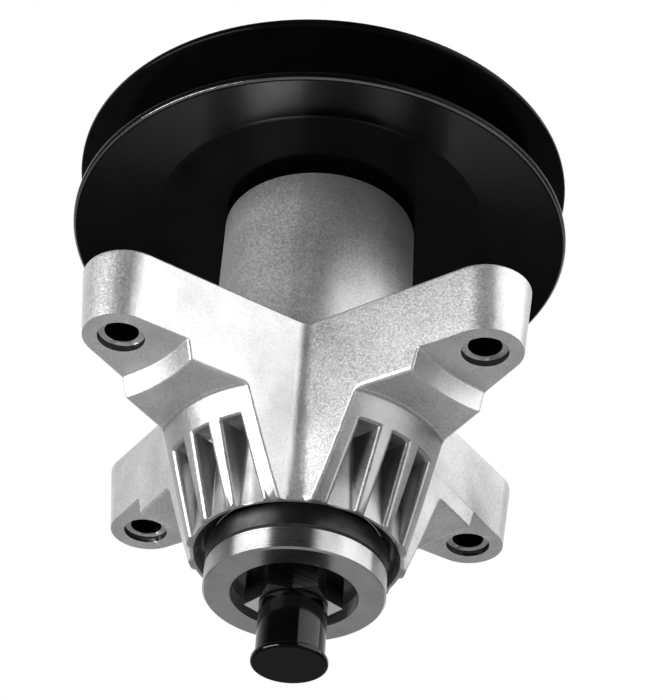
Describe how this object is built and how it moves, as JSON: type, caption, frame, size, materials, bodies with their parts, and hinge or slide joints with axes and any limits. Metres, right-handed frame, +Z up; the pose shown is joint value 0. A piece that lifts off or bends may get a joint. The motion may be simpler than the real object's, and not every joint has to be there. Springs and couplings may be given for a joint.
{
  "type": "mower deck blade spindle assembly with v-belt pulley",
  "caption": "Die-cast mower deck spindle with splayed arms, ribbed skirt, ball bearings, a V-belt pulley above and a star-drive blade seat with a capped stud below.",
  "frame": {"origin": "spindle axis at the plane of the four deck pads", "axes": "+Z up along the spindle towards the pulley, +X and +Y between the arms, the blade end points to -Z"},
  "size_m": [0.146, 0.146, 0.17],
  "materials": {
    "cast_aluminium": "bead-blasted die casting, matt silver",
    "black_enamel": "gloss black coat on pressed sheet",
    "polished_steel": "turned and polished",
    "dark_steel": "dark satin",
    "shaft_steel": "machined",
    "bearing_steel": "ground",
    "cage_plastic": "moulded, natural",
    "seal_rubber": "moulded on a steel insert",
    "zinc_plate": "bright zinc plate",
    "black_vinyl": "dip-moulded, semi-gloss"
  },
  "bodies": {
    "deck_housing": {"housing": "cast_aluminium", "upper_bearing_outer_ring": "bearing_steel", "upper_bearing_upper_seal": "seal_rubber", "upper_bearing_lower_seal": "seal_rubber", "lower_bearing_outer_ring": "bearing_steel", "lower_bearing_upper_seal": "seal_rubber", "lower_bearing_lower_seal": "seal_rubber"},
    "spindle": {"spindle_shaft": "shaft_steel", "upper_bearing_inner_ring": "bearing_steel", "lower_bearing_inner_ring": "bearing_steel", "bearing_spacer": "shaft_steel", "pulley_collar": "shaft_steel", "pulley_lower_half": "black_enamel", "pulley_upper_half": "black_enamel", "pulley_nut": "zinc_plate", "dust_shield": "dark_steel", "blade_seat_ring": "polished_steel"},
    "upper_ball_set": {"upper_bearing_balls": "bearing_steel", "upper_bearing_cage": "cage_plastic"},
    "lower_ball_set": {"lower_bearing_balls": "bearing_steel", "lower_bearing_cage": "cage_plastic"},
    "protector": {"thread_cap": "black_vinyl"}
  },
  "joints": [
    {"name": "spindle_spin", "type": "hinge", "parent": "deck_housing", "child": "spindle", "pos_m": [0, 0, 0], "axis": [0, 0, 1], "continuous": true},
    {"name": "upper_ball_orbit", "type": "hinge", "parent": "deck_housing", "child": "upper_ball_set", "pos_m": [0, 0, 0.067], "axis": [0, 0, 1], "continuous": true},
    {"name": "lower_ball_orbit", "type": "hinge", "parent": "deck_housing", "child": "lower_ball_set", "pos_m": [0, 0, -0.025], "axis": [0, 0, 1], "continuous": true},
    {"name": "cap_pull", "type": "slide", "parent": "spindle", "child": "protector", "axis": [0, 0, -1], "range_m": [0, 0.016]}
  ],
  "couplings": [
    {"joint": "upper_ball_orbit", "follows": "spindle_spin", "ratio": 0.3815},
    {"joint": "lower_ball_orbit", "follows": "spindle_spin", "ratio": 0.3815}
  ]
}
